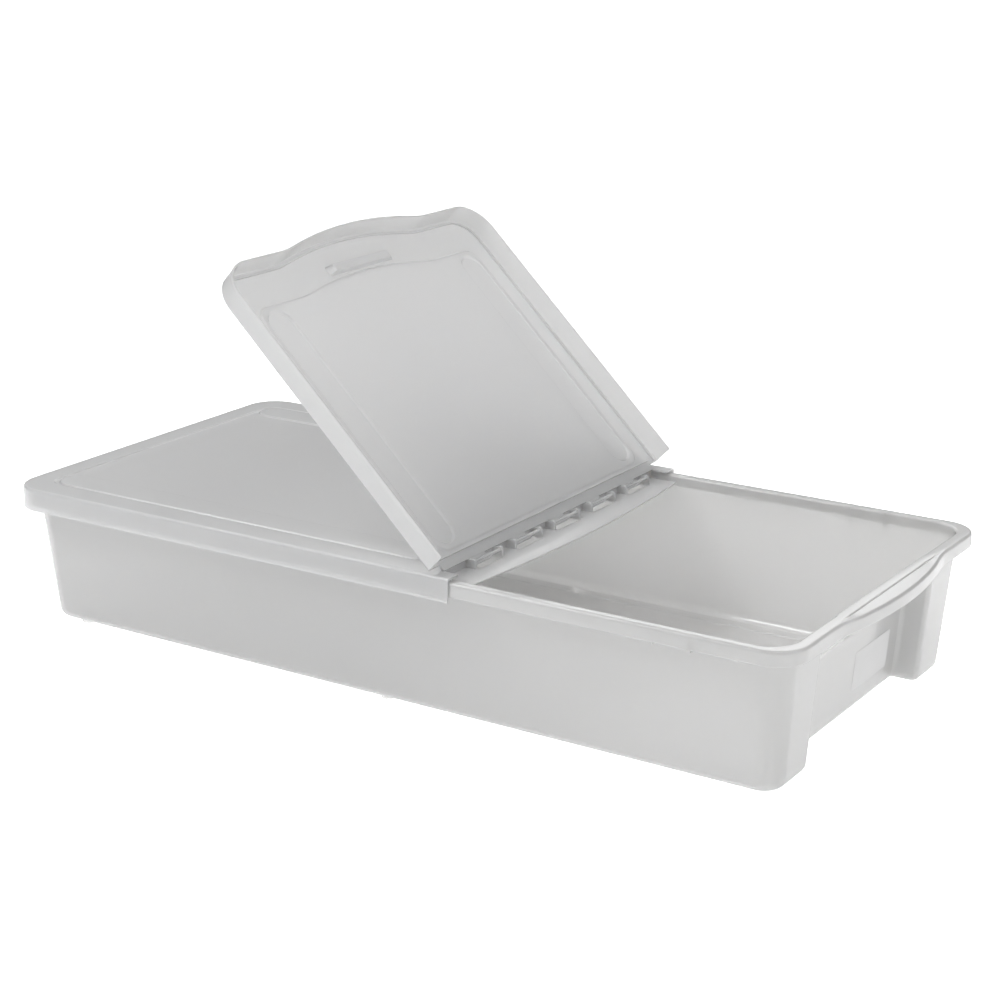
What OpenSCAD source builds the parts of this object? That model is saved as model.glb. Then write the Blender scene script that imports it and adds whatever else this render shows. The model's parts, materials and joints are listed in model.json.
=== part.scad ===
// Long, low storage box that slides under a bed.  A thin-walled tub carries a
// two-part lid: a main lid that clips over the rim and lifts off, and a flap
// that swings on moulded hinge bars and leans back past upright.
// X runs along the length, towards the grip and the flap, Y across the width,
// Z up.  The origin is on the floor, under the middle of the tub.  The flap is
// drawn open.

/* [Tub] */
// Length over the rolled rim, without the grips
rim_l = 1000; // [800:10:1200]
// Width over the rolled rim
rim_w = 476; // [410:2:580]
// Height from the floor to the top of the rim
tub_h = 162; // [140:1:200]
// Corner radius of the rim, seen from above
rim_r = 37; // [28:1:45]
// Depth of the lip that turns down round the rim
lip_h = 16; // [12:1:20]
// How far the end walls stand in from the rim at the top
end_shelf = 13; // [12:0.5:16]
// How far the side walls stand in from the rim at the top
side_shelf = 10.5; // [9:0.5:13]
// How far the walls stand in from the rim at the base
base_inset = 26; // [20:0.5:32]
// Radius of the rounding between wall and base
base_r = 11; // [6:0.5:14]
// Thickness of the tub's walls
wall = 2.2; // [1.6:0.1:3]
// Thickness of the tub's base
base_t = 2.5; // [2:0.1:4]
// Height of the small glides under the base
glide_h = 2.5; // [1.5:0.5:4]
// Diameter of a glide
glide_d = 16; // [10:1:18]

/* [Grip and hand recesses] */
// How far the curved grip stands out past the rim
grip_out = 14; // [10:1:18]
// Width of the curved grip where it meets the rim
grip_w = 250; // [180:5:270]
// Width of the hand recess in each end wall
recess_w = 276; // [220:2:300]
// Depth of the hand recess
recess_d = 28; // [20:1:32]
// Height of the sloping ceiling of the hand recess
recess_roof = 40; // [30:1:50]

/* [Lid] */
// Height of the lid's top face above the rim
lid_rise = 4.5; // [4:0.1:6]
// Thickness of the lid
lid_t = 2.2; // [1.8:0.1:2.6]
// Depth of the lid's skirt below its top face
skirt_h = 26; // [22:1:32]
// Gap between the skirt and the rim
skirt_gap = 0.8; // [0.5:0.1:1.2]
// Distance from the middle of the box to where the skirts part
split_x = 114; // [80:1:160]
// Gap between the two skirts at the parting line
split_gap = 1; // [0.8:0.1:2]
// Depth of the stacking recess in the lid's top face
panel_drop = 1.6; // [1:0.1:2]
// Width of the flat band between the lid's long edges and the stacking recess
side_band = 32; // [28:1:42]
// Width of the flat band at the grip's end of the flap
end_band = 48; // [44:1:60]
// Width of the flat band at the back end of the main lid
back_band = 28; // [24:1:40]
// Width of the long stiffening beads
bead_w = 40; // [24:1:44]
// Height of the beads above the stacking recess
bead_h = 2.2; // [1.5:0.1:3]

/* [Hinge] */
// Angle of the flap from closed to leaning on the main lid
open_angle = 136; // [120:1:145]
// Depth of the hinge axis below the lid's top face
hinge_drop = 3.2; // [3:0.1:3.6]
// Diameter of the moulded hinge bars
bar_d = 4; // [3:0.1:4.2]
// Running clearance between a hook and its bar, on the radius
bar_gap = 0.06; // [0.03:0.01:0.1]
// Thickness of a hook round its bar
hook_t = 1.6; // [1.2:0.1:1.8]
// Width of a hook
hook_w = 28; // [20:1:32]
// Number of hooks
hooks = 5; // [3:1:5]
// Distance from the ledge's end to the middle of the outermost hook
hook_edge = 58; // [50:1:70]
// Free length of bar beside each hook
bar_free = 20; // [12:1:22]
// Reach of the hinge ledge past the hinge axis, at its middle
ledge_reach = 40; // [30:1:50]

/* [Label] */
// Width of the blank label
label_w = 88; // [50:1:95]
// Height of the blank label
label_h = 44; // [30:1:50]
// Distance from the side of the hand recess to the label
label_edge = 28; // [10:1:34]

/* [Hidden] */
plastic = [0.86, 0.87, 0.87, 0.6];
eps = 0.05;
// Faces of a hull's own children
hull_fn = 32;
// Faces of the long curves of the grip and the ledge
arc_fn = 240;

// Tub: its walls and corners
top_z = tub_h;
base_z = glide_h;
end_top_x = rim_l / 2 - end_shelf;
end_base_x = rim_l / 2 - base_inset;
wall_run = end_top_x - end_base_x;
wall_rise = top_z - base_z - base_r;
top_corner_r = 34.5;
base_corner_r = 25;
grip_r = (pow(grip_w / 2, 2) + pow(grip_out, 2)) / (2 * grip_out);

// Tub: the hand recess, from its ceiling down to its rounded foot
recess_under_lip = 6;
recess_roof_z = top_z - lip_h - recess_under_lip;
recess_bend_z = recess_roof_z - recess_roof;
recess_foot_r = 7;

// Tub: the ribs that tie the lip to the side walls, and how far below the lip
// they run out
rib_t = 2;
rib_step = 42;
rib_end = 110;
rib_root = 10;
rib_sink = 1;

// Tub: the glides under the base
glide_end = 72;
glide_side = 3;
glide_x = rim_l / 2 - glide_end;
glide_y = rim_w / 2 - base_inset - base_r - glide_side;
grip_glide_y = glide_y - 40;
middle_glide_x = 7;
glide_places = [[-glide_x, glide_y], [middle_glide_x, glide_y], [glide_x, grip_glide_y]];

// Label: the height of its lower edge, its thickness and its place across
label_z = 28;
label_t = 0.25;
label_y = recess_w / 2 - label_edge - label_w / 2;

// Lid: its top face, its skirt and the ring that seats it on the rim
lid_z = top_z + lid_rise;
skirt_z = lid_z - skirt_h;
seat_gap = 0.3;
seat_in = 4;

// Lid: the stacking recess and its beads
panel_r = 16;
panel_bow = 12;
panel_end = 22;
panel_start = 11;
bead_in = 5;
bead_side = 1.5;
bead_y = rim_w / 2 - side_band - bead_side - bead_w / 2;

// Lid: the finger pocket and the catches
pocket_l = 13;
pocket_w = 120;
pocket_h = 8.5;
pocket_gap = 3;
pocket_x = end_top_x - wall - pocket_gap - pocket_l / 2;
catch_l = 40;
catch_h = 3;
catch_out = 0.8;
catch_end = 2;

// Hinge: bars, hooks and the free space round them
hinge_in = 13;
hinge_x = split_x - hinge_in;
hinge_z = lid_z - hinge_drop;
bar_r = bar_d / 2;
hook_in_r = bar_r + bar_gap;
hook_r = hook_in_r + hook_t;
hook_room = 2.4;
hook_mouth = 90;
hook_mouth_turn = -75;
side_gap = 0.6;
bar_y0 = -hook_w / 2 - side_gap;
bar_y1 = hook_w / 2 + bar_free;
cheek_r = hook_r + 0.4;
cheek_t = 3;

// Hinge: the open flap's top face leans on the main lid's edge
stop_gap = 0.5;
lid_end_x = hinge_x - hinge_drop * tan(open_angle / 2) - stop_gap;
flap_end_x = hinge_x + hook_r + hook_room;
flap_rib_x = split_x + 5;
flap_rib_h = 4;

// Hinge: the ledge under the hooks, between the tub's side walls
ledge_t = 2;
ledge_z = hinge_z - hook_r - hook_room;
ledge_in = 9;
ledge_y = rim_w / 2 - side_shelf - wall - ledge_in;
ledge_sag = 12;
ledge_r = (pow(ledge_y, 2) + pow(ledge_sag, 2)) / (2 * ledge_sag);
flap_side_y = ledge_y + 4;
hook_pitch = 2 * (ledge_y - hook_edge) / (hooks - 1);
hook_y = [for (i = [0 : hooks - 1]) (i - (hooks - 1) / 2) * hook_pitch];

// Outer face of an end wall at height z, and of the hand recess behind it
function end_x(z) = end_base_x + wall_run * (z - base_z - base_r) / wall_rise;
function panel_x(z) = end_x(z) - recess_d;

// Rectangle with rounded corners, drawn about the origin
module rounded_rect(l, w, r) {
    square([l - 2 * r, w], center = true);
    square([l, w - 2 * r], center = true);
    for (x = [-1, 1], y = [-1, 1])
        translate([x * (l / 2 - r), y * (w / 2 - r)])
            circle(r, $fn = 96);
}

// Rounded rectangle whose +X end bows out in a long arc
module bowed_rect(l, w, r, arc_r, bow) {
    rounded_rect(l, w, r);
    intersection() {
        translate([l / 2 + bow - arc_r, 0]) circle(arc_r, $fn = arc_fn);
        translate([0, -w / 2 + r]) square([l / 2 + 2 * bow, w - 2 * r]);
    }
}

// Outline of the rim, grown outwards by g
module rim_outline(g = 0) {
    bowed_rect(rim_l + 2 * g, rim_w + 2 * g, rim_r + g, grip_r + g, grip_out);
}

// Long strip with round ends
module stadium(l, w) {
    square([l - w, w], center = true);
    for (x = [-1, 1])
        translate([x * (l - w) / 2, 0]) circle(w / 2, $fn = 48);
}

module both_ends() {
    children();
    mirror([1, 0, 0]) children();
}

module both_sides() {
    children();
    mirror([0, 1, 0]) children();
}

// Solid tapered block with a rounded base, drawn in from the tub's faces by inset
module tub_block(inset, low, high) {
    top_r = top_corner_r - inset;
    foot_r = base_corner_r - inset;
    round_r = base_r - inset;
    hull()
        for (x = [-1, 1], y = [-1, 1]) {
            translate([
                x * (end_top_x - inset - top_r),
                y * (rim_w / 2 - side_shelf - inset - top_r),
                high - 1
            ])
                cylinder(r = top_r, h = 1, $fn = hull_fn);
            translate([
                x * (end_base_x - inset - foot_r),
                y * (rim_w / 2 - base_inset - inset - foot_r),
                low + round_r
            ])
                rotate_extrude($fn = hull_fn)
                    intersection() {
                        translate([foot_r - round_r, 0]) circle(round_r, $fn = hull_fn);
                        translate([0, -round_r]) square([foot_r, round_r]);
                    }
        }
}

// Side view of the hand recess; with t it is the recess grown by a wall of t
function recess_profile(t) =
    let (
        arc_z = base_z + recess_foot_r,
        arc_x = panel_x(arc_z) - recess_foot_r,
        arc_r = recess_foot_r - t,
        far = rim_l / 2 + 2 * grip_out,
        lift = t * tan(atan2(recess_d, recess_roof) / 2)
    )
    concat(
        [[far, base_z - 1], [arc_x, base_z - 1]],
        [for (a = [-90 : 15 : 0]) [arc_x + arc_r * cos(a), arc_z + arc_r * sin(a)]],
        [
            [panel_x(recess_bend_z) - t, recess_bend_z + lift],
            [end_x(recess_roof_z) - t, recess_roof_z + lift],
            [far, recess_roof_z + lift]
        ]
    );

module recess(t = 0) {
    rotate([90, 0, 0])
        linear_extrude(recess_w + 2 * t, center = true)
            polygon(recess_profile(t));
}

// Rim plate with the lip that turns down round its edge
module rim() {
    difference() {
        translate([0, 0, top_z - lip_h])
            linear_extrude(lip_h) rim_outline();
        translate([0, 0, top_z - lip_h - eps])
            linear_extrude(lip_h - wall + eps) rim_outline(-wall);
    }
}

// Upright ribs that tie the lip to the side walls near the ends
module rim_ribs() {
    reach = side_shelf - wall / 2 + rib_sink;
    foot = reach + (base_inset - side_shelf) * (lip_h + rib_root) / wall_rise;
    for (i = [0, 1])
        translate([rim_l / 2 - rib_end - i * rib_step, (rim_w - wall) / 2, top_z - wall / 2])
            rotate([90, 0, -90])
                linear_extrude(rib_t, center = true)
                    polygon([
                        [0, 0],
                        [reach, 0],
                        [foot, -lip_h - rib_root],
                        [foot - 2 * rib_sink, -lip_h - rib_root],
                        [0, wall - lip_h]
                    ]);
}

module glides() {
    for (place = glide_places, side = [-1, 1])
        translate([place[0], side * place[1], 0])
            cylinder(d = glide_d, h = base_z + base_t / 2, $fn = 48);
}

module tub() {
    color(plastic)
        difference() {
            union() {
                tub_block(0, base_z, top_z);
                rim();
                both_ends() both_sides() rim_ribs();
                glides();
            }
            difference() {
                tub_block(wall, base_z + base_t, top_z + 1);
                both_ends() recess(wall);
            }
            both_ends() recess();
        }
}

// What lies between two places along X
module between(x0, x1) {
    intersection() {
        children();
        translate([x0, -rim_w, 0]) cube([x1 - x0, 2 * rim_w, 2 * tub_h]);
    }
}

// Outline of the stacking recess between two places along X, with its +X end
// bowed out by bow, and the whole grown by g
module panel_outline(x0, x1, bow, g = 0) {
    l = x1 - x0 + 2 * g;
    w = rim_w - 2 * side_band + 2 * g;
    translate([(x0 + x1) / 2, 0])
        if (bow > 0)
            bowed_rect(l, w, panel_r + g, grip_r + g, bow);
        else
            rounded_rect(l, w, panel_r + g);
}

// Pair of long beads between two places along X, drawn in by g
module bead_outlines(x0, x1, g = 0) {
    for (y = [-bead_y, bead_y])
        translate([(x0 + x1) / 2, y]) stadium(x1 - x0 - 2 * g, bead_w - 2 * g);
}

// Skin of a closed lid that covers the whole rim.  The stacking recess runs
// from x0 to x1, where it bows out by bow, and holds the two long beads.
module lid_skin(x0, x1, bow = 0) {
    panel_z = lid_z - panel_drop;
    bead_x0 = x0 + bead_in;
    bead_x1 = x1 - bead_in;
    difference() {
        union() {
            difference() {
                translate([0, 0, skirt_z])
                    linear_extrude(skirt_h) rim_outline(skirt_gap + lid_t);
                translate([0, 0, panel_z])
                    linear_extrude(2 * panel_drop) panel_outline(x0, x1, bow);
            }
            translate([0, 0, panel_z - lid_t / 2])
                linear_extrude(bead_h + lid_t / 2) bead_outlines(bead_x0, bead_x1);
        }
        difference() {
            translate([0, 0, skirt_z - eps])
                linear_extrude(skirt_h - lid_t + eps) rim_outline(skirt_gap);
            translate([0, 0, panel_z - lid_t])
                linear_extrude(2 * lid_t) panel_outline(x0, x1, bow, lid_t);
        }
        translate([0, 0, panel_z - 2 * lid_t])
            linear_extrude(bead_h + lid_t) bead_outlines(bead_x0, bead_x1, lid_t);
    }
    translate([0, 0, top_z + seat_gap])
        linear_extrude(lid_rise - seat_gap - lid_t / 2)
            difference() {
                rim_outline(-seat_in);
                rim_outline(-seat_in - lid_t);
            }
}

// Finger pocket in the flap's end band, before it is hollowed and as the hollow
module pocket_body() {
    translate([pocket_x - pocket_l / 2, -pocket_w / 2, lid_z - pocket_h])
        cube([pocket_l, pocket_w, pocket_h - lid_t / 2]);
}

module pocket_hollow() {
    translate([
        pocket_x - pocket_l / 2 + lid_t,
        -pocket_w / 2 + lid_t,
        lid_z - pocket_h + lid_t
    ])
        cube([pocket_l - 2 * lid_t, pocket_w - 2 * lid_t, pocket_h]);
}

// Low catches on the skirt, next to the parting line, that end at x
module catches(x) {
    both_sides()
        translate([x - catch_l, rim_w / 2 + skirt_gap + lid_t - eps, skirt_z])
            cube([catch_l, catch_out + eps, catch_h]);
}

// Cylinder along Y between two places
module rod(r, y0, y1) {
    translate([0, y1, 0])
        rotate([90, 0, 0]) cylinder(r = r, h = y1 - y0, $fn = 64);
}

// Ledge that runs under the hinge, with a window below each hook
module hinge_ledge() {
    difference() {
        translate([0, 0, ledge_z - ledge_t])
            linear_extrude(ledge_t)
                intersection() {
                    translate([hinge_x + ledge_reach - ledge_r, 0])
                        circle(ledge_r, $fn = arc_fn);
                    translate([lid_end_x - lid_t, -ledge_y])
                        square([2 * ledge_reach, 2 * ledge_y]);
                }
        for (y = hook_y)
            translate([lid_end_x + 1, y + bar_y0, ledge_z - ledge_t - 1])
                cube([flap_end_x - lid_end_x, bar_y1 - bar_y0, ledge_t + 2]);
    }
}

// Cheek that carries one end of a hinge bar, from y to y + cheek_t
module cheek(y) {
    translate([hinge_x, y, hinge_z]) rod(cheek_r, 0, cheek_t);
    translate([lid_end_x - eps, y, ledge_z - eps])
        cube([hinge_x + cheek_r - lid_end_x + eps, cheek_t, hinge_z - ledge_z + eps]);
}

// Bar of one hook with its two cheeks
module hinge_bar(y) {
    translate([hinge_x, y, hinge_z]) rod(bar_r, bar_y0 - cheek_t / 2, bar_y1 + cheek_t / 2);
    cheek(y + bar_y0 - cheek_t);
    cheek(y + bar_y1);
}

module main_lid() {
    strip_y = flap_side_y + side_gap;
    color(plastic) {
        between(-rim_l, lid_end_x)
            lid_skin(back_band - rim_l / 2, lid_end_x - panel_end);
        both_sides()
            intersection() {
                between(lid_end_x - eps, split_x - split_gap / 2)
                    lid_skin(back_band - rim_l / 2, lid_end_x - panel_end);
                translate([0, strip_y, 0]) cube([rim_l, rim_w, 2 * tub_h]);
            }
        translate([lid_end_x - lid_t, -ledge_y, ledge_z - ledge_t])
            cube([lid_t, 2 * ledge_y, lid_z - lid_t / 2 - ledge_z + ledge_t]);
        hinge_ledge();
        for (y = hook_y) hinge_bar(y);
        catches(split_x - split_gap / 2 - catch_end);
    }
}

// Hook of the flap: a ring round the bar, open on the side away from its arm
module hook(y) {
    translate([hinge_x, y, hinge_z]) rod(hook_r, -hook_w / 2, hook_w / 2);
    translate([hinge_x, y - hook_w / 2, lid_z - lid_t])
        cube([flap_end_x - hinge_x + eps, hook_w, lid_t]);
}

// What is cut from a hook: its bore and its mouth
module hook_bore(y) {
    reach = 2 * hook_r;
    a0 = hook_mouth_turn - hook_mouth / 2;
    a1 = hook_mouth_turn + hook_mouth / 2;
    translate([hinge_x, y, hinge_z]) {
        rod(hook_in_r, -hook_w / 2 - 1, hook_w / 2 + 1);
        rotate([90, 0, 0])
            linear_extrude(hook_w + 2, center = true)
                polygon([[0, 0], reach * [cos(a0), sin(a0)], reach * [cos(a1), sin(a1)]]);
    }
}

// The flap as it lies when it is closed
module closed_flap() {
    difference() {
        union() {
            between(split_x + split_gap / 2, rim_l)
                lid_skin(split_x + panel_start, rim_l / 2 - end_band, panel_bow);
            translate([flap_end_x, -flap_side_y, lid_z - lid_t])
                cube([split_x + 1 - flap_end_x, 2 * flap_side_y, lid_t]);
            translate([flap_rib_x, -flap_side_y, lid_z - lid_t - flap_rib_h])
                cube([lid_t, 2 * flap_side_y, flap_rib_h + lid_t / 2]);
            for (y = hook_y) hook(y);
            pocket_body();
        }
        for (y = hook_y) hook_bore(y);
        pocket_hollow();
    }
}

module flap() {
    color(plastic)
        translate([hinge_x, 0, hinge_z])
            rotate([0, -open_angle, 0])
                translate([-hinge_x, 0, -hinge_z])
                    closed_flap();
}

// Blank label on the back of the hand recess
module label() {
    z0 = label_z;
    z1 = label_z + label_h;
    color("white")
        translate([0, label_y, 0])
            rotate([90, 0, 0])
                linear_extrude(label_w, center = true)
                    polygon([
                        [panel_x(z0), z0],
                        [panel_x(z0) + label_t, z0],
                        [panel_x(z1) + label_t, z1],
                        [panel_x(z1), z1]
                    ]);
}

tub();
main_lid();
flap();
label();
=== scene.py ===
"""Looks of a long, low storage box with a hinged flap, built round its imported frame.

Each shell is skinned ring by ring from a few plan outlines, trimmed and joined as one
closed solid, and dressed in a milky, slightly cloudy plastic. Lengths are in millimetres
until a mesh is written, in the frame of the CAD: X runs along the box towards the flap,
Y across it, and Z up from the floor. Lids are built closed, and the flap is then turned
about its hinge to where it rests.
"""

from __future__ import annotations

import json
import logging
import math
from dataclasses import dataclass, field, replace
from enum import Enum
from typing import Iterable, Protocol

import bmesh
import bpy
import numpy as np
from mathutils import Matrix, Vector

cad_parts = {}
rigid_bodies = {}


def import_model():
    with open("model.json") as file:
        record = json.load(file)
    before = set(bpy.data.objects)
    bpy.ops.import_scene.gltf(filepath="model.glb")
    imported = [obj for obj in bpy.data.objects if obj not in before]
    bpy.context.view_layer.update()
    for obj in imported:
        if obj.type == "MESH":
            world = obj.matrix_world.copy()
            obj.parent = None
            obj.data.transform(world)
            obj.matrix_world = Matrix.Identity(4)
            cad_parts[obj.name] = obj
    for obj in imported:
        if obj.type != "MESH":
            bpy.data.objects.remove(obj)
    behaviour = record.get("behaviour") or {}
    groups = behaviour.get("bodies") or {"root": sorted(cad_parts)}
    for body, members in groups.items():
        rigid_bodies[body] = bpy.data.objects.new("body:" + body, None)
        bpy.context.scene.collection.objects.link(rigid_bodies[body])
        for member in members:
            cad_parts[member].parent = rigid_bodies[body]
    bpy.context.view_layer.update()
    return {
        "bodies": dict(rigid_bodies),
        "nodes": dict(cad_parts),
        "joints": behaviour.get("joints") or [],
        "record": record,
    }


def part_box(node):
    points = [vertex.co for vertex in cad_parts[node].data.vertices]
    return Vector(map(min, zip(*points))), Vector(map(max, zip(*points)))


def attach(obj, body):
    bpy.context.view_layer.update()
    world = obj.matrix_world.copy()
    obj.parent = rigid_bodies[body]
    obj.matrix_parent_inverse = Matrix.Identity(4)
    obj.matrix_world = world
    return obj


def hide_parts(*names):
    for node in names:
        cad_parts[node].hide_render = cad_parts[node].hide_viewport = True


MM = 0.001
# Steps of rounded edges, degrees between an arc's points, and how far flats rule the shading.
BEVEL_SEGMENTS = 3
ARC_STEP = 9
FLAT_WEIGHT = 60
# Round corner where a skirt or a lip meets the plate above it: distance out, and height.
INNER_CORNER = ((-2.0, 0.0), (-0.6, -0.5), (0.0, -2.0))
# The plastic's clouding and its fine grain.
CLOUD_DETAIL = 3.0
GRAIN_SCALE = 900.0
GRAIN_DETAIL = 2.0
log = logging.getLogger("under_bed_box")


# ---------------------------------------------------------------- outlines


class Shape(Protocol):
    """A closed outline seen from above, whose loops all have the same count of points."""

    def grown(self, by: float) -> "Shape":
        """Returns the outline moved outwards by a distance."""

    def loop(self) -> np.ndarray:
        """Returns the outline's points, counter-clockwise, as an (n, 2) array."""


def quarter(count: int) -> np.ndarray:
    """Returns angles from 0 to a quarter turn, without its two ends.

    Args:
        count: How many angles.

    Returns:
        The angles, in radians.
    """
    return np.linspace(0, math.pi / 2, count + 2)[1:-1]


def sweep(count: int, share: float = 0.5) -> np.ndarray:
    """Returns angles from 0 to a share of a half turn, with both ends.

    Args:
        count: How many angles.
        share: 0.5 for a quarter turn and 1 for a half turn.

    Returns:
        The angles, in radians.
    """
    return np.linspace(0, share * math.pi, count)


def soft_above(value: np.ndarray | float, blend: float) -> np.ndarray | float:
    """Returns the value where it is above zero and zero elsewhere, with a soft corner.

    Args:
        value: One value or an array of values.
        blend: How far the corner is rounded, in the value's own units.

    Returns:
        The softened value or values.
    """
    return blend * np.logaddexp(0, np.asarray(value) / blend)


@dataclass(frozen=True)
class Plan:
    """Rounded rectangle with an optional curved grip and optional hand recesses.

    The grip bows the +X end out, and the recesses press both ends in.
    """

    half_x: float
    half_y: float
    corner: float
    mid_x: float = 0.0
    grip: float = 0.0
    grip_half: float = 125.0
    notch: float = 0.0
    notch_half: float = 138.0
    notch_round: float = 6.0

    GRIP_BLEND = 0.9
    CORNER_POINTS = 13
    SIDE_POINTS = 28
    COLUMN_POINTS = 5
    TURN_POINTS = 6
    BACK_POINTS = 34

    def grown(self, by: float) -> "Plan":
        """Moves the outline outwards, which narrows the recesses.

        Args:
            by: The distance, or a negative one to draw the outline in.

        Returns:
            The new outline.
        """
        return replace(
            self,
            half_x=self.half_x + by,
            half_y=self.half_y + by,
            corner=self.corner + by,
            notch_half=self.notch_half - by,
        )

    def bow(self, y: np.ndarray) -> np.ndarray:
        """Works out how far the grip stands out.

        Args:
            y: Places across the box.

        Returns:
            How far it stands out at each of them.
        """
        if self.grip <= 0:
            return np.zeros_like(y)
        radius = (self.grip_half**2 + self.grip**2) / (2 * self.grip)
        reach = np.minimum(np.abs(y), radius)
        arc = np.sqrt(radius**2 - reach**2) - (radius - self.grip)
        return soft_above(arc, self.GRIP_BLEND)

    def end(self) -> np.ndarray:
        """Lists the points of the +X end, from its -Y corner to its +Y corner.

        Returns:
            How far each point stands out from the end along X, and its place along Y.
        """
        turn = np.arange(self.TURN_POINTS) / (self.TURN_POINTS - 0.5) * math.pi / 2
        fall = min(self.notch / 2, self.notch_round)
        half, turn_r = self.notch_half, self.notch_round
        column = np.linspace(-(self.half_y - self.corner), -half - turn_r, self.COLUMN_POINTS)[:-1]
        out_y = -half - turn_r + turn_r * np.sin(turn)
        out_x = -fall * (1 - np.cos(turn))
        in_y = -half + turn_r - turn_r * np.sin(turn[::-1])
        in_x = -self.notch + fall * (1 - np.cos(turn[::-1]))
        back = np.linspace(-half + turn_r, half - turn_r, self.BACK_POINTS)[1:-1]
        left_y = np.concatenate([column, out_y, in_y])
        left_x = np.concatenate([np.zeros_like(column), out_x, in_x])
        x = np.concatenate([left_x, np.full_like(back, -self.notch), left_x[::-1]])
        y = np.concatenate([left_y, back, -left_y[::-1]])
        return np.stack([x, y], axis=1)

    def loop(self) -> np.ndarray:
        """Lists the outline's points, counter-clockwise.

        Returns:
            An (n, 2) array of X and Y, with the same n for every plan.
        """
        end = self.end()
        front = end + [self.half_x, 0]
        front[:, 0] += self.bow(front[:, 1])
        rear = end[::-1] * [-1, 1] - [self.half_x, 0]
        flat_x, flat_y = self.half_x - self.corner, self.half_y - self.corner
        side_x = np.linspace(flat_x, -flat_x, self.SIDE_POINTS)
        left = np.stack([side_x, np.full_like(side_x, self.half_y)], axis=1)
        turn = quarter(self.CORNER_POINTS)
        arc = np.stack([np.cos(turn), np.sin(turn)], axis=1) * self.corner
        corners = [
            arc + [flat_x, flat_y],
            arc[::-1] * [-1, 1] + [-flat_x, flat_y],
            -arc - [flat_x, flat_y],
            arc[::-1] * [1, -1] + [flat_x, -flat_y],
        ]
        parts = [front, corners[0], left, corners[1], rear, corners[2], -left, corners[3]]
        return np.concatenate(parts) + [self.mid_x, 0]


@dataclass(frozen=True)
class Stadium:
    """Long strip with round ends, lying along X."""

    x0: float
    x1: float
    mid_y: float
    half: float

    END_POINTS = 24

    def grown(self, by: float) -> "Stadium":
        """Returns the outline moved outwards by a distance."""
        return replace(self, x0=self.x0 - by, x1=self.x1 + by, half=self.half + by)

    def loop(self) -> np.ndarray:
        """Lists the outline's points, counter-clockwise.

        Returns:
            An (n, 2) array of X and Y.
        """
        turn = (np.arange(self.END_POINTS) + 0.5) / self.END_POINTS * math.pi - math.pi / 2
        arc = np.stack([np.cos(turn), np.sin(turn)], axis=1) * self.half
        far = arc + [self.x1 - self.half, self.mid_y]
        near = -arc + [self.x0 + self.half, self.mid_y]
        return np.concatenate([far, near])


# ---------------------------------------------------------------- meshes


class Skin:
    """A closed mesh made of rings of points, in millimetres."""

    STEP_RINGS = 7

    def __init__(self) -> None:
        """Starts an empty mesh."""
        self.bm = bmesh.new()

    def ring(self, shape: Shape, z: float | np.ndarray) -> list[bmesh.types.BMVert]:
        """Adds one ring of points.

        Args:
            shape: The ring's outline.
            z: Its height, or one height for each point.

        Returns:
            The ring's vertices.
        """
        points = shape.loop()
        heights = np.broadcast_to(z, len(points))
        return [self.bm.verts.new((x, y, h)) for (x, y), h in zip(points, heights)]

    def bridge(self, rings: list[list[bmesh.types.BMVert]]) -> None:
        """Joins each ring to the next with a band of quads.

        Args:
            rings: The rings in order, all with the same count of points.
        """
        for low, high in zip(rings, rings[1:]):
            for i, (a, b) in enumerate(zip(low, high)):
                self.bm.faces.new((low[i - 1], a, b, high[i - 1]))

    def fill(self, *rings: list[bmesh.types.BMVert]) -> None:
        """Fills the flat region that lies inside the first ring and outside the others.

        Args:
            *rings: The rings round the region.
        """
        edges = []
        for ring in rings:
            for i, vert in enumerate(ring):
                pair = (ring[i - 1], vert)
                edges.append(self.bm.edges.get(pair) or self.bm.edges.new(pair))
        bmesh.ops.triangle_fill(self.bm, edges=edges, use_beauty=True)

    def step(self, shape: Shape, low: float, high: float, width: float) -> list[list]:
        """Adds the band where the surface climbs from one level to another, going inwards.

        Args:
            shape: The outline at the middle of the band.
            low: Height at the band's outer edge.
            high: Height at its inner edge.
            width: The band's width.

        Returns:
            The band's rings, from the outer edge to the inner one.
        """
        share = np.linspace(0, 1, self.STEP_RINGS)
        ease = share * share * (3 - 2 * share)
        rings = [
            self.ring(shape.grown(width * (0.5 - s)), low + (high - low) * e)
            for s, e in zip(share, ease)
        ]
        self.bridge(rings)
        return rings

    def finish(self, name: str) -> bpy.types.Object:
        """Turns the mesh into an object, with its faces turned outwards.

        Args:
            name: Name of the object.

        Returns:
            The object, in metres.
        """
        bmesh.ops.recalc_face_normals(self.bm, faces=self.bm.faces)
        return from_bmesh(self.bm, name)


def from_bmesh(bm: bmesh.types.BMesh, name: str) -> bpy.types.Object:
    """Writes a mesh built in millimetres to a new object in metres.

    Args:
        bm: The mesh, which is freed.
        name: Name of the object.

    Returns:
        The object, linked to the scene.
    """
    bmesh.ops.scale(bm, vec=(MM, MM, MM), verts=bm.verts)
    mesh = bpy.data.meshes.new(name)
    bm.to_mesh(mesh)
    bm.free()
    made = bpy.data.objects.new(name, mesh)
    bpy.context.scene.collection.objects.link(made)
    return made


def soften(bm: bmesh.types.BMesh, radius: float) -> None:
    """Rounds every edge of a mesh.

    Args:
        bm: The mesh, in millimetres.
        radius: Radius of the edges.
    """
    bmesh.ops.bevel(
        bm, geom=bm.edges[:], offset=radius, segments=BEVEL_SEGMENTS, profile=0.5, affect="EDGES"
    )


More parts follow.
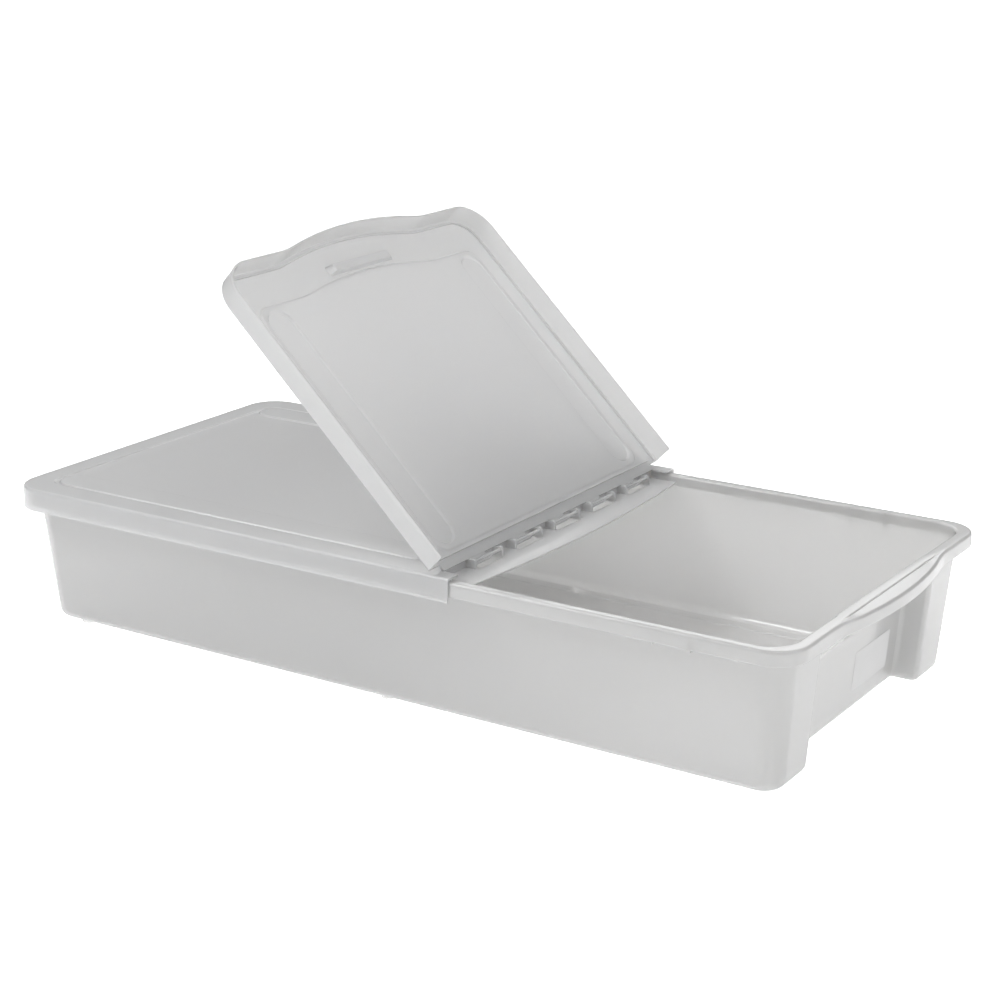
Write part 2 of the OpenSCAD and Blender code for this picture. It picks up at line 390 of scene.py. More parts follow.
def block(low: Iterable[float], high: Iterable[float], edge: float = 0.0) -> bpy.types.Object:
    """Makes a box between two corners, with its edges rounded.

    Args:
        low: Lowest corner.
        high: Highest corner.
        edge: Radius of the edges, or zero for a sharp cutter.

    Returns:
        The box.
    """
    low, high = Vector(low), Vector(high)
    bm = bmesh.new()
    bmesh.ops.create_cube(bm, size=1)
    for vert in bm.verts:
        vert.co = Vector((low + high) / 2) + Vector(a * b for a, b in zip(vert.co, high - low))
    if edge > 0:
        soften(bm, edge)
    return from_bmesh(bm, "block")


def extrusion(profile: Iterable[tuple[float, float]], y0: float, y1: float) -> bpy.types.Object:
    """Makes a bar along Y from an outline in the XZ plane.

    Args:
        profile: The outline's points, as pairs of X and Z.
        y0: Where the bar starts.
        y1: Where it ends.

    Returns:
        The bar.
    """
    bm = bmesh.new()
    near = [bm.verts.new((x, y0, z)) for x, z in profile]
    far = [bm.verts.new((x, y1, z)) for x, z in profile]
    bm.faces.new(near)
    bm.faces.new(far[::-1])
    for i in range(len(near)):
        bm.faces.new((near[i - 1], near[i], far[i], far[i - 1]))
    bmesh.ops.recalc_face_normals(bm, faces=bm.faces)
    return from_bmesh(bm, "extrusion")


def arc_points(radius: float, start: float, stop: float, centre: tuple[float, float]) -> list:
    """Returns points along an arc in the XZ plane, a few degrees apart.

    Args:
        radius: The arc's radius.
        start: Its first angle, in degrees from +X towards +Z.
        stop: Its last angle.
        centre: Its centre, as X and Z.

    Returns:
        The points, as pairs of X and Z.
    """
    count = max(4, int(abs(stop - start) / ARC_STEP))
    turns = np.radians(np.linspace(start, stop, count))
    return [(centre[0] + radius * math.cos(a), centre[1] + radius * math.sin(a)) for a in turns]


class Cut(Enum):
    """What a boolean does with its tool."""

    JOIN = "UNION"
    CARVE = "DIFFERENCE"


def combine(body: bpy.types.Object, tools: Iterable[bpy.types.Object], how: Cut) -> None:
    """Joins tools to a solid or carves them out of it, and removes them.

    Args:
        body: The solid that is changed.
        tools: Closed solids, used one after the other.
        how: Whether they are joined or carved.
    """
    for tool in tools:
        modifier = body.modifiers.new("combine", "BOOLEAN")
        modifier.operation = how.value
        modifier.solver = "MANIFOLD"
        modifier.object = tool
        graph = bpy.context.evaluated_depsgraph_get()
        mesh = bpy.data.meshes.new_from_object(body.evaluated_get(graph))
        body.modifiers.clear()
        old, body.data = body.data, mesh
        bpy.data.meshes.remove(old)
        spent = tool.data
        bpy.data.objects.remove(tool)
        bpy.data.meshes.remove(spent)


def smooth(body: bpy.types.Object, angle: float = 38.0) -> None:
    """Shades a solid smooth, with flats kept flat and corners past an angle kept sharp.

    Args:
        body: The solid.
        angle: Largest angle that is smoothed, in degrees.
    """
    body.data.shade_smooth()
    body.data.set_sharp_from_angle(angle=math.radians(angle))
    weighted = body.modifiers.new("flat_faces", "WEIGHTED_NORMAL")
    weighted.keep_sharp = True
    weighted.weight = FLAT_WEIGHT


# ---------------------------------------------------------------- sizes


@dataclass(frozen=True)
class BoxSizes:
    """Driving sizes of the box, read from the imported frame."""

    rim_x: float
    rim_y: float
    rim_z: float
    grip: float
    panel_z: float
    split_x: float
    skirt_z: float
    hinge_x: float
    hinge_z: float
    open_angle: float
    split_room: float = 12.5
    skirt_h: float = 26.0
    panel_drop: float = 1.6
    lid_t: float = 2.2
    wall: float = 2.2
    rim_corner: float = 37.0

    @property
    def lid_z(self) -> float:
        """Height of the lid's top face."""
        return self.panel_z + self.panel_drop

    @property
    def rim(self) -> Plan:
        """Outline of the rim, with the curved grip."""
        return Plan(self.rim_x, self.rim_y, self.rim_corner, grip=self.grip)

    @classmethod
    def read(cls, frame: dict) -> "BoxSizes":
        """Reads the sizes from the frame's boxes, mounts and joints.


        Returns:
            The sizes, in millimetres and degrees.
        """
        tub_low, tub_high = (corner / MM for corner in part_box("tub"))
        mounts = {m["name"]: m for m in frame["record"]["mounts"]}
        joints = {j["name"]: j for j in frame["joints"]}
        hinge = joints["flap_hinge"]
        return cls(
            rim_x=-tub_low.x,
            rim_y=tub_high.y,
            rim_z=tub_high.z,
            grip=tub_high.x + tub_low.x,
            panel_z=mounts["stacking_face"]["pos_m"][2] / MM,
            split_x=hinge["pos_m"][0] / MM + cls.split_room,
            skirt_z=mounts["stacking_face"]["pos_m"][2] / MM + cls.panel_drop - cls.skirt_h,
            hinge_x=hinge["pos_m"][0] / MM,
            hinge_z=hinge["pos_m"][2] / MM,
            open_angle=hinge["range_deg"][1],
        )


# ---------------------------------------------------------------- tub


@dataclass
class Tub:
    """The thin-walled tub with its rolled rim, curved grip and hand recesses."""

    sizes: BoxSizes
    base_z: float = 2.5
    base_t: float = 2.5
    base_r: float = 11.0
    top_shelf: tuple[float, float] = (13.0, 10.5)
    foot_inset: float = 26.0
    top_corner: float = 34.5
    foot_corner: float = 25.0
    recess_d: float = 28.0
    recess_half: float = 138.0
    recess_bend: float = 100.0
    recess_roof: float = 140.0
    recess_soft: float = 1.2
    lip_h: float = 16.0
    lip_ring: float = 9.0
    edge_r: float = 3.5
    shoulder_r: float = 2.5
    grip_dip: float = 1.4
    dip_gain: float = 2.2
    floor_step: float = 0.8
    floor_step_w: float = 9.0
    floor_border: float = 16.0
    rib_x: tuple[float, ...] = (348.0, 390.0)
    rib_half: float = 1.0
    rib_in: float = 3.0
    rib_out: float = 1.0
    rib_foot: float = 3.0
    rib_edge: float = 0.3
    grip_ridge_half: float = 110.0
    grip_ridge_span: tuple[float, float] = (0.3, 2.0)
    grip_ridge_h: float = 2.0
    grip_ridge_edge: float = 0.5
    glides: tuple[tuple[float, float], ...] = ((-428.0, 198.0), (7.0, 198.0), (428.0, 158.0))
    glide_r: float = 8.0
    solid: bpy.types.Object = field(init=False)

    # Heights of the wall's rings, about a bend of the recess and elsewhere.
    BEND_STEPS = (-6, -4, -2.5, -1, 0, 1, 2.5, 4, 6)
    PLAIN_LEVELS = (30.0, 50.0, 70.0, 86.0, 112.0, 120.0, 128.0, 152.0)
    # The rim's ridge: distance out from the edge's round, and share of the grip's dip.
    RIM_RIDGE = ((-0.5, 1.0), (-1.1, 0.3), (-2.2, 0.0))
    # A glide's foot: distance out from its edge, and height.
    GLIDE_FOOT = ((-0.8, 0.0), (-0.2, 0.25), (0.0, 0.8))
    # Rings round each curve.
    FOOT_RINGS = 9
    LIP_RINGS = 7
    EDGE_RINGS = 8
    OUTER_SHOULDER_RINGS = 5
    INNER_SHOULDER_RINGS = 6

    def recess(self, z: float) -> float:
        """Works out how deep the hand recess is.

        Args:
            z: Height above the floor.

        Returns:
            The recess's depth there.
        """
        slope = self.recess_d / (self.recess_roof - self.recess_bend)
        depth = float(soft_above((self.recess_roof - z) * slope, self.recess_soft))
        return self.recess_d - float(soft_above(self.recess_d - depth, self.recess_soft))

    def wall_plan(self, z: float, inset: float = 0.0) -> Plan:
        """Lays out the walls at a height.

        Args:
            z: Height above the floor.
            inset: How far the outline is drawn in from the walls' outside.

        Returns:
            The outline.
        """
        foot_z = self.base_z + self.base_r
        share = max(0.0, (z - foot_z) / (self.sizes.rim_z - foot_z))
        shelf_x, shelf_y = self.top_shelf
        lift = inset * math.tan(math.atan2(self.recess_d, self.recess_roof - self.recess_bend) / 2)
        plan = Plan(
            half_x=self.sizes.rim_x - self.foot_inset + share * (self.foot_inset - shelf_x),
            half_y=self.sizes.rim_y - self.foot_inset + share * (self.foot_inset - shelf_y),
            corner=self.foot_corner + share * (self.top_corner - self.foot_corner),
            notch=max(0.0, self.recess(z - lift)),
            notch_half=self.recess_half,
        )
        return plan.grown(-inset)

    def wall_levels(self, low: float, high: float) -> list[float]:
        """Lists the heights of the wall's rings, closer together at the recess's bends.

        Args:
            low: Height that the rings stay above.
            high: Height that they stay below.

        Returns:
            The heights, from low to high.
        """
        bends = [b + step for b in (self.recess_bend, self.recess_roof) for step in self.BEND_STEPS]
        return [z for z in sorted([*bends, *self.PLAIN_LEVELS]) if low < z < high]

    def outside(self, skin: Skin) -> list[list]:
        """Adds the rings from the underside up to the rim's underside.

        Args:
            skin: The mesh.

        Returns:
            The rings, from the lowest.
        """
        foot_z = self.base_z + self.base_r
        under = self.sizes.rim_z - self.sizes.wall
        rings = []
        for turn in sweep(self.FOOT_RINGS):
            inset = self.base_r * (1 - math.sin(turn))
            height = self.base_z + self.base_r * (1 - math.cos(turn))
            rings.append(skin.ring(self.wall_plan(foot_z, inset), height))
        for z in self.wall_levels(foot_z, under - self.shoulder_r):
            rings.append(skin.ring(self.wall_plan(z), z))
        for turn in sweep(self.OUTER_SHOULDER_RINGS):
            out = self.shoulder_r * (1 - math.cos(turn))
            height = under - self.shoulder_r * (1 - math.sin(turn))
            rings.append(skin.ring(self.wall_plan(height).grown(out), height))
        return rings

    def dip(self, plan: Plan) -> np.ndarray:
        """Works out how far the rim drops where the grip bows out.

        Args:
            plan: The rim's outline.

        Returns:
            The drop at each of its points.
        """
        points = plan.loop()
        lean = np.where(points[:, 0] > 0, plan.bow(points[:, 1]) / plan.grip, 0.0)
        return self.grip_dip * np.clip(lean * self.dip_gain, 0, 1)

    def rim_rings(self, skin: Skin) -> list[list]:
        """Adds the rings of the lip and the rim's top.

        Args:
            skin: The mesh.

        Returns:
            The rings, from the inside of the lip, round its foot and over the rim.
        """
        rim, top, t = self.sizes.rim, self.sizes.rim_z, self.sizes.wall
        low, under, half_t = top - self.lip_h, top - t, t / 2
        sections = [(-t + out, under + up) for out, up in INNER_CORNER]
        sections.append((-t, low + half_t))
        for turn in sweep(self.LIP_RINGS, 1.0)[1:-1]:
            height = low + half_t * (1 - math.sin(turn))
            sections.append((-half_t - half_t * math.cos(turn), height))
        sections += [(0.0, low + half_t), (0.0, top - self.lip_ring)]
        rings = [skin.ring(rim.grown(out), z) for out, z in sections]
        dip = self.dip(rim)
        for turn in sweep(self.EDGE_RINGS):
            inset = self.edge_r * (1 - math.cos(turn))
            height = top - dip - self.edge_r * (1 - math.sin(turn))
            rings.append(skin.ring(rim.grown(-inset), height))
        ridge = replace(rim, grip=0.0)
        for out, share in self.RIM_RIDGE:
            rings.append(skin.ring(ridge.grown(-self.edge_r + out), top - share * dip))
        return rings

    def inside(self, skin: Skin) -> list[list]:
        """Adds the rings from the rim's inner shoulder down to the floor.

        Args:
            skin: The mesh.

        Returns:
            The rings, from the highest.
        """
        top, t = self.sizes.rim_z, self.sizes.wall
        rings = []
        for turn in sweep(self.INNER_SHOULDER_RINGS):
            out = self.shoulder_r * (1 - math.sin(turn))
            height = top - self.shoulder_r * (1 - math.cos(turn))
            rings.append(skin.ring(self.wall_plan(height, t).grown(out), height))
        foot_z = self.base_z + self.base_r
        floor_z, inner_r = self.base_z + self.base_t, self.base_r - t
        for z in reversed(self.wall_levels(foot_z, top - self.shoulder_r)):
            rings.append(skin.ring(self.wall_plan(z, t), z))
        for turn in sweep(self.FOOT_RINGS):
            out = inner_r * (1 - math.cos(turn))
            height = floor_z + inner_r * (1 - math.sin(turn))
            rings.append(skin.ring(self.wall_plan(foot_z, t + out), height))
        return rings

    def build(self) -> bpy.types.Object:
        """Builds the tub.

        Returns:
            The tub, as one closed solid.
        """
        skin = Skin()
        rings = self.outside(skin) + self.rim_rings(skin) + self.inside(skin)
        skin.bridge(rings)
        skin.fill(rings[0])
        floor_z = self.base_z + self.base_t
        raised = self.wall_plan(self.base_z + self.base_r, self.base_r + self.floor_border)
        panel = skin.step(raised, floor_z, floor_z + self.floor_step, self.floor_step_w)
        skin.fill(rings[-1], panel[0])
        skin.fill(panel[-1])
        self.solid = skin.finish("tub_shell")
        combine(self.solid, self.details(), Cut.JOIN)
        return self.solid

    def details(self) -> list[bpy.types.Object]:
        """Makes the glides, the ribs under the lip and the ridge behind the grip.

        Returns:
            The parts, which are still to be joined to the tub.
        """
        sizes = self.sizes
        parts = [self.glide(x, side * y) for x, y in self.glides for side in (-1, 1)]
        wall_y = sizes.rim_y - self.top_shelf[1]
        for x in self.rib_x:
            for end in (-1, 1):
                for side in (-1, 1):
                    ys = sorted((side * (wall_y - self.rib_in), side * (sizes.rim_y - self.rib_out)))
                    low = (end * x - self.rib_half, ys[0], sizes.rim_z - self.lip_h - self.rib_foot)
                    high = (end * x + self.rib_half, ys[1], sizes.rim_z - sizes.wall / 2)
                    parts.append(block(low, high, self.rib_edge))
        inner = sizes.rim_x - self.top_shelf[0] - sizes.wall
        start, stop = self.grip_ridge_span
        low = (inner + start, -self.grip_ridge_half, sizes.rim_z - self.grip_ridge_h)
        high = (inner + stop, self.grip_ridge_half, sizes.rim_z)
        parts.append(block(low, high, self.grip_ridge_edge))
        return parts

    def glide(self, x: float, y: float) -> bpy.types.Object:
        """Makes one low glide that stands on the floor under the base.

        Args:
            x: Its middle along the box.
            y: Its middle across the box.

        Returns:
            The glide.
        """
        skin = Skin()
        disc = Stadium(x - self.glide_r, x + self.glide_r, y, self.glide_r)
        rings = [skin.ring(disc.grown(out), up) for out, up in self.GLIDE_FOOT]
        rings.append(skin.ring(disc, self.base_z + 1))
        skin.bridge(rings)
        skin.fill(rings[0])
        skin.fill(rings[-1])
        return skin.finish("glide")


# ---------------------------------------------------------------- lids


@dataclass
class LidShell:
    """What both lids share: a skirt round the rim, a stacking recess and two beads."""

    sizes: BoxSizes
    skirt_gap: float = 0.8
    top_gap: float = 0.3
    edge_r: float = 3.5
    side_band: float = 32.0
    panel_corner: float = 16.0
    step_w: float = 3.0
    bead_h: float = 2.2
    bead_half: float = 20.0
    bead_side: float = 1.5
    bead_in: float = 5.0
    bow_half: float = 118.0
    under_share: float = 0.6
    draft: float = 0.3
    seat_in: float = 4.0
    seat_gap: float = 0.3
    seat_w: float = 1.8
    side_gap: float = 0.6
    split_gap: float = 1.0
    catch_l: float = 40.0
    catch_h: float = 3.0
    catch_in: float = 1.2
    catch_out: float = 0.8
    catch_edge: float = 0.7
    solid: bpy.types.Object = field(init=False)

    # The skirt's rolled foot: distance out from its face, and height above the foot.
    FOOT_INSIDE = ((0.0, 1.0), (0.4, 0.2))
    FOOT_OUTSIDE = ((-0.6, 0.0), (-0.1, 0.4), (0.0, 1.2), (0.0, 3.4), (-0.4, 4.6))
    BAND_TOP = (0.2, 6.0)
    # The seat's foot: distance out from its outer face, and height above its low side.
    SEAT_FOOT = ((0.0, 0.4), (-0.4, 0.0), (-1.4, 0.0), (-1.8, 0.4))
    EDGE_RINGS = 9

    def panel(self, x0: float, x1: float, bow: float) -> Plan:
        """Lays out the stacking recess.

        Args:
            x0: Where it starts.
            x1: Where it ends.
            bow: How far its +X end bows out.

        Returns:
            The outline.
        """
        return Plan(
            half_x=(x1 - x0) / 2,
            half_y=self.sizes.rim_y - self.side_band,
            corner=self.panel_corner,
            mid_x=(x0 + x1) / 2,
            grip=bow,
            grip_half=self.bow_half,
        )

    def beads(self, x0: float, x1: float) -> list[Stadium]:
        """Lays out the two long beads that stand in the stacking recess.

        Args:
            x0: Where the recess starts.
            x1: Where it ends.

        Returns:
            The beads' outlines.
        """
        mid = self.sizes.rim_y - self.side_band - self.bead_side - self.bead_half
        return [
            Stadium(x0 + self.bead_in, x1 - self.bead_in, side * mid, self.bead_half)
            for side in (-1, 1)
        ]

    def face(self, skin: Skin, edge: list, panel: Plan, beads: list[Stadium], z: float) -> None:
        """Adds one face of the lid's plate, inside a ring that is there already.

        Args:
            skin: The mesh.
            edge: The ring round the plate.
            panel: Outline of the stacking recess.
            beads: Outlines of the beads.
            z: Height of the plate's border.
        """
        low = z - self.sizes.panel_drop
        recess = skin.step(panel, z, low, self.step_w)
        raised = [skin.step(bead, low, low + self.bead_h, self.step_w) for bead in beads]
        skin.fill(edge, recess[0])
        skin.fill(recess[-1], *(rings[0] for rings in raised))
        for rings in raised:
            skin.fill(rings[-1])

    def profile(self) -> list[tuple[float, float]]:
        """Lists the section of the skirt, from the plate's underside round to its top.

        Returns:
            Pairs of the distance out from the rim and the height.
        """
        top, foot, t = self.sizes.lid_z, self.sizes.skirt_z, self.sizes.lid_t
        outer = self.skirt_gap + t
        upper = self.top_gap + t - self.draft
        sections = [(self.top_gap + out, top - t + up) for out, up in INNER_CORNER]
        sections += [(self.skirt_gap + out, foot + up) for out, up in self.FOOT_INSIDE]
        sections += [(outer + out, foot + up) for out, up in self.FOOT_OUTSIDE]
        sections.append((upper + self.BAND_TOP[0], foot + self.BAND_TOP[1]))
        for turn in sweep(self.EDGE_RINGS):
            inset = self.edge_r * (1 - math.cos(turn))
            height = top - self.edge_r * (1 - math.sin(turn))
            sections.append((upper - inset, height))
        return sections

    def whole(self, name: str, x0: float, x1: float, bow: float) -> bpy.types.Object:
        """Builds a closed lid that covers the whole rim, before it is trimmed.

        Args:
            name: Name of the piece.
            x0: Where the stacking recess starts.
            x1: Where it ends.
            bow: How far its +X end bows out.

        Returns:
            The lid, as one closed solid.
        """
        top, t = self.sizes.lid_z, self.sizes.lid_t
        skin = Skin()
        rings = [skin.ring(self.sizes.rim.grown(out), z) for out, z in self.profile()]
        skin.bridge(rings)
        panel, beads = self.panel(x0, x1, bow), self.beads(x0, x1)
        self.face(skin, rings[-1], panel, beads, top)
        under = [bead.grown(-self.under_share * t) for bead in beads]
        self.face(skin, rings[0], panel.grown(self.under_share * t), under, top - t)
        return skin.finish(name)

    def seat(self) -> bpy.types.Object:
        """Makes the low ring under the lid that finds the rim.

        Returns:
            The ring.
        """
        sizes = self.sizes
        outer = sizes.rim.grown(-self.seat_in)
        low, high = sizes.rim_z + self.seat_gap, sizes.lid_z - sizes.lid_t / 2
        skin = Skin()
        rings = [skin.ring(outer, high)]
        rings += [skin.ring(outer.grown(out), low + up) for out, up in self.SEAT_FOOT]
        rings.append(skin.ring(outer.grown(-self.seat_w), high))
        skin.bridge(rings + rings[:1])
        return skin.finish("seat")

    def catches(self, x: float) -> list[bpy.types.Object]:
        """Makes the low catch on each side of the skirt.

        Args:
            x: Where the catches end.

        Returns:
            The two catches.
        """
        made = []
        y, z = self.sizes.rim_y + self.skirt_gap + self.sizes.lid_t, self.sizes.skirt_z
        for side in (-1, 1):
            ys = sorted((side * (y - self.catch_in), side * (y + self.catch_out)))
            corner = (x, ys[1], z + self.catch_h)
            made.append(block((x - self.catch_l, ys[0], z), corner, self.catch_edge))
        return made


@dataclass
class Hinge:
    """Places and radii of the moulded hinge that joins the two lids.

    Five hooks on the flap turn on bars that stand between cheeks on the main lid.
    """

    sizes: BoxSizes
    bar_r: float = 2.0
    gap: float = 0.06
    hook_t: float = 1.6
    hook_half: float = 14.0
    bar_free: float = 20.0
    side_gap: float = 0.6
    room: float = 2.4
    ledge_reach: float = 40.0
    ledge_sag: float = 12.0
    ledge_t: float = 2.0
    ledge_half: float = 216.3
    hook_edge: float = 58.0
    hooks: int = 5
    hook_turns: tuple[float, float] = (-30, 240)
    cheek_t: float = 3.0
    cheek_rise: float = 0.4
    cheek_turn: float = 120.0
    lean_gap: float = 0.5
    side_room: float = 4.0
    window_in: float = 1.0

    @property
    def hook_r(self) -> float:
        """Outer radius of a hook."""
        return self.bar_r + self.gap + self.hook_t

    @property
    def centre(self) -> tuple[float, float]:
        """The hinge axis, as X and Z."""
        return self.sizes.hinge_x, self.sizes.hinge_z

    @property
    def lid_end(self) -> float:
        """Where the main lid's plate ends, so that the open flap leans on its edge.

        Returns:
            The place along X.
        """
        drop = self.sizes.lid_z - self.sizes.hinge_z
        lean = drop * math.tan(math.radians(self.sizes.open_angle) / 2)
        return self.sizes.hinge_x - lean - self.lean_gap

    @property
    def flap_end(self) -> float:
        """Where the flap's plate starts, next to the hooks."""
        return self.sizes.hinge_x + self.hook_r + self.room

    @property
    def ledge_z(self) -> float:
        """Height of the ledge's top face."""
        return self.sizes.hinge_z - self.hook_r - self.room

    @property
    def flap_side(self) -> float:
        """Half width of the flap's plate beside the hinge."""
        return self.ledge_half + self.side_room

    def hook_places(self) -> np.ndarray:
        """Returns the middle of each hook across the box."""
        return np.linspace(-1, 1, self.hooks) * (self.ledge_half - self.hook_edge)

    def bar_span(self, y: float) -> tuple[float, float]:
        """Works out the free stretch of a hook's bar.

        Args:
            y: The hook's middle.

        Returns:
            Where the free stretch starts and ends across the box.
        """
        return y - self.hook_half - self.side_gap, y + self.hook_half + self.bar_free


@dataclass
class MainLid(LidShell):
    """The long lid that stays closed, with the hinge's ledge, cheeks and bars."""

    hinge: Hinge = field(kw_only=True)
    back_band: float = 28.0
    panel_end: float = 22.0
    catch_end: float = 2.0
    ledge_edge: float = 0.4
    wall_out: float = 1.0
    wall_lift: float = 0.1
    wall_edge: float = 0.3
    overlap: float = 0.5
    bar_in: float = 1.0

    LEDGE_POINTS = 49
    BAR_END = 351.0

    def build(self) -> bpy.types.Object:
        """Builds the main lid.

        Returns:
            The lid, as one closed solid.
        """
        sizes, hinge = self.sizes, self.hinge
        x0, x1 = self.back_band - sizes.rim_x, hinge.lid_end - self.panel_end
        self.solid = self.whole("main_lid_shell", x0, x1, 0)
        combine(self.solid, [self.seat()], Cut.JOIN)
        far, high = 2 * sizes.rim_x, 2 * sizes.rim_z
        strip = hinge.flap_side + self.side_gap
        cutters = [
            block((sizes.split_x, -far, 0), (far, far, high)),
            block((hinge.lid_end, -strip, 0), (far, strip, high)),
        ]
        combine(self.solid, cutters, Cut.CARVE)
        combine(self.solid, self.hinge_parts(), Cut.JOIN)
        combine(self.solid, self.catches(sizes.split_x - self.catch_end), Cut.JOIN)
        return self.solid

    def ledge(self) -> bpy.types.Object:
        """Makes the ledge under the hinge, with a window below each hook.

        Returns:
            The ledge.
        """
        hinge = self.hinge
        half, sag = hinge.ledge_half, hinge.ledge_sag
        radius = (half**2 + sag**2) / (2 * sag)
        tip = self.sizes.hinge_x + hinge.ledge_reach
        ys = np.linspace(-half, half, self.LEDGE_POINTS)
        front = tip - radius + np.sqrt(radius**2 - ys**2)
        start = hinge.lid_end - self.sizes.lid_t
        outline = [(start, -half), *zip(front, ys), (start, half)]
        low, high = hinge.ledge_z - hinge.ledge_t, hinge.ledge_z
        bm = bmesh.new()
        edge = self.ledge_edge
        levels = [(low, edge), (low + edge, 0.0), (high - edge, 0.0), (high, edge)]
        rings = [[bm.verts.new((x - inset, y, z)) for x, y in outline] for z, inset in levels]
        for lower, upper in zip(rings, rings[1:]):
            for i in range(len(outline)):
                bm.faces.new((lower[i - 1], lower[i], upper[i], upper[i - 1]))
        bm.faces.new(rings[0])
        bm.faces.new(rings[-1][::-1])
        bmesh.ops.recalc_face_normals(bm, faces=bm.faces)
        plate = from_bmesh(bm, "ledge")
        start = hinge.lid_end + hinge.window_in
        stop = start + (hinge.flap_end - hinge.lid_end)
        for y0, y1 in map(hinge.bar_span, hinge.hook_places()):
            window = block((start, y0, low - 1), (stop, y1, high + 1))
            combine(plate, [window], Cut.CARVE)
        return plate

    def hinge_parts(self) -> list[bpy.types.Object]:
        """Makes the ledge, the wall behind it, and each bar with its two cheeks.

        Returns:
            The parts, which are still to be joined to the lid.
        """
        hinge, sizes = self.hinge, self.sizes
        end = hinge.lid_end
        side = hinge.flap_side + hinge.side_gap + self.wall_out
        low = (end - sizes.lid_t, -side, hinge.ledge_z - hinge.ledge_t + self.wall_lift)
        high = (end, side, sizes.lid_z - sizes.lid_t / 2)
        parts = [block(low, high, self.wall_edge), self.ledge()]
        cheek_r = hinge.hook_r + hinge.cheek_rise
        x0, z0 = end - self.overlap, hinge.ledge_z - self.overlap
        x1 = sizes.hinge_x + cheek_r
        round_top = arc_points(cheek_r, 0, hinge.cheek_turn, hinge.centre)
        arch = [(x0, z0), (x1, z0), *round_top, (x0, sizes.lid_z - 1)]
        bar = arc_points(hinge.bar_r, 0, self.BAR_END, hinge.centre)
        for y0, y1 in map(hinge.bar_span, hinge.hook_places()):
            parts.append(extrusion(arch, y0 - hinge.cheek_t, y0))
            parts.append(extrusion(arch, y1, y1 + hinge.cheek_t))
            parts.append(extrusion(bar, y0 - self.bar_in, y1 + self.bar_in))
        return parts


@dataclass
class Flap(LidShell):
    """The short lid that swings open, with its hooks and finger pocket."""

    hinge: Hinge = field(kw_only=True)
    end_band: float = 48.0
    panel_start: float = 11.0
    panel_bow: float = 12.0
    pocket_x: float = 475.3
    pocket_half_x: float = 6.5
    pocket_half_y: float = 60.0
    pocket_h: float = 8.5
    pocket_taper: tuple[float, float] = (1.5, 9.0)
    pocket_edge: float = 0.8
    pocket_over: float = 1.0
    rib_h: float = 4.0
    rib_in: float = 4.0
    plate_in: float = 3.0
    plate_edge: float = 0.4
    arm_edge: float = 0.3
    arm_share: float = 0.5
    arm_drop: tuple[float, float] = (0.2, 0.05)

    @property
    def start(self) -> float:
        """Where the flap's skirt starts, past the parting line."""
        return self.sizes.split_x + self.split_gap

    def build(self) -> bpy.types.Object:
        """Builds the flap and turns it open about its hinge.

        Returns:
            The flap, as one closed solid.
        """
        sizes, hinge = self.sizes, self.hinge
        x0, x1 = self.start + self.panel_start, sizes.rim_x - self.end_band
        self.solid = self.whole("flap_shell", x0, x1, self.panel_bow)
        combine(self.solid, [self.seat(), self.pocket(0.0)], Cut.JOIN)
        far, high = 2 * sizes.rim_x, 2 * sizes.rim_z
        cutters = [block((-far, -far, 0), (self.start, far, high)), self.pocket(sizes.lid_t)]
        combine(self.solid, cutters, Cut.CARVE)
        combine(self.solid, self.hinge_parts(), Cut.JOIN)
        axis = Vector((sizes.hinge_x, 0, sizes.hinge_z)) * MM
        turn = Matrix.Rotation(-math.radians(sizes.open_angle), 4, "Y")
        self.solid.data.transform(Matrix.Translation(axis) @ turn @ Matrix.Translation(-axis))
        return self.solid

    def pocket(self, inset: float) -> bpy.types.Object:
        """Makes the finger pocket as a tapered solid.

        Args:
            inset: How far its faces are drawn in, or zero for the pocket's outside.

        Returns:
            The solid.
        """
        top = self.sizes.lid_z + (self.pocket_over if inset else -self.sizes.lid_t / 2)
        foot = self.sizes.lid_z - self.pocket_h + inset
        bm = bmesh.new()
        rings = []
        for z, taper in ((top, 0.0), (foot, 1.0)):
            half_x = self.pocket_half_x - inset - self.pocket_taper[0] * taper
            half_y = self.pocket_half_y - inset - self.pocket_taper[1] * taper
            corners = [(x * half_x, y * half_y) for x, y in ((-1, -1), (1, -1), (1, 1), (-1, 1))]
            rings.append([bm.verts.new((self.pocket_x + x, y, z)) for x, y in corners])
        for i in range(4):
            bm.faces.new((rings[0][i - 1], rings[0][i], rings[1][i], rings[1][i - 1]))
        bm.faces.new(rings[0])
        bm.faces.new(rings[1][::-1])
        bmesh.ops.recalc_face_normals(bm, faces=bm.faces)
        soften(bm, self.pocket_edge)
        return from_bmesh(bm, "pocket")

    def hinge_parts(self) -> list[bpy.types.Object]:
        """Makes the plate next to the hinge, its rib, and the hooks.

        Returns:
            The parts, which are still to be joined to the flap.
        """
        hinge, sizes = self.hinge, self.sizes
        top, t = sizes.lid_z, sizes.lid_t
        side, rib_x = hinge.flap_side, self.start + self.rib_in
        plate = (self.start + self.plate_in, side, top)
        parts = [
            block((hinge.flap_end, -side, top - t), plate, self.plate_edge),
            block((rib_x, -side, top - t - self.rib_h), (rib_x + t, side, top - 1), self.plate_edge),
        ]
        inner = hinge.bar_r + hinge.gap
        first, last = hinge.hook_turns
        ring = arc_points(hinge.hook_r, first, last, hinge.centre)
        ring += arc_points(inner, last, first, hinge.centre)
        under, over = self.arm_drop
        for y in hinge.hook_places():
            y0, y1 = y - hinge.hook_half, y + hinge.hook_half
            parts.append(extrusion(ring, y0, y1))
            arm = (sizes.hinge_x + inner * self.arm_share, y0, top - t + under)
            parts.append(block(arm, (hinge.flap_end + 1, y1, top - over), self.arm_edge))
        return parts


# ---------------------------------------------------------------- label


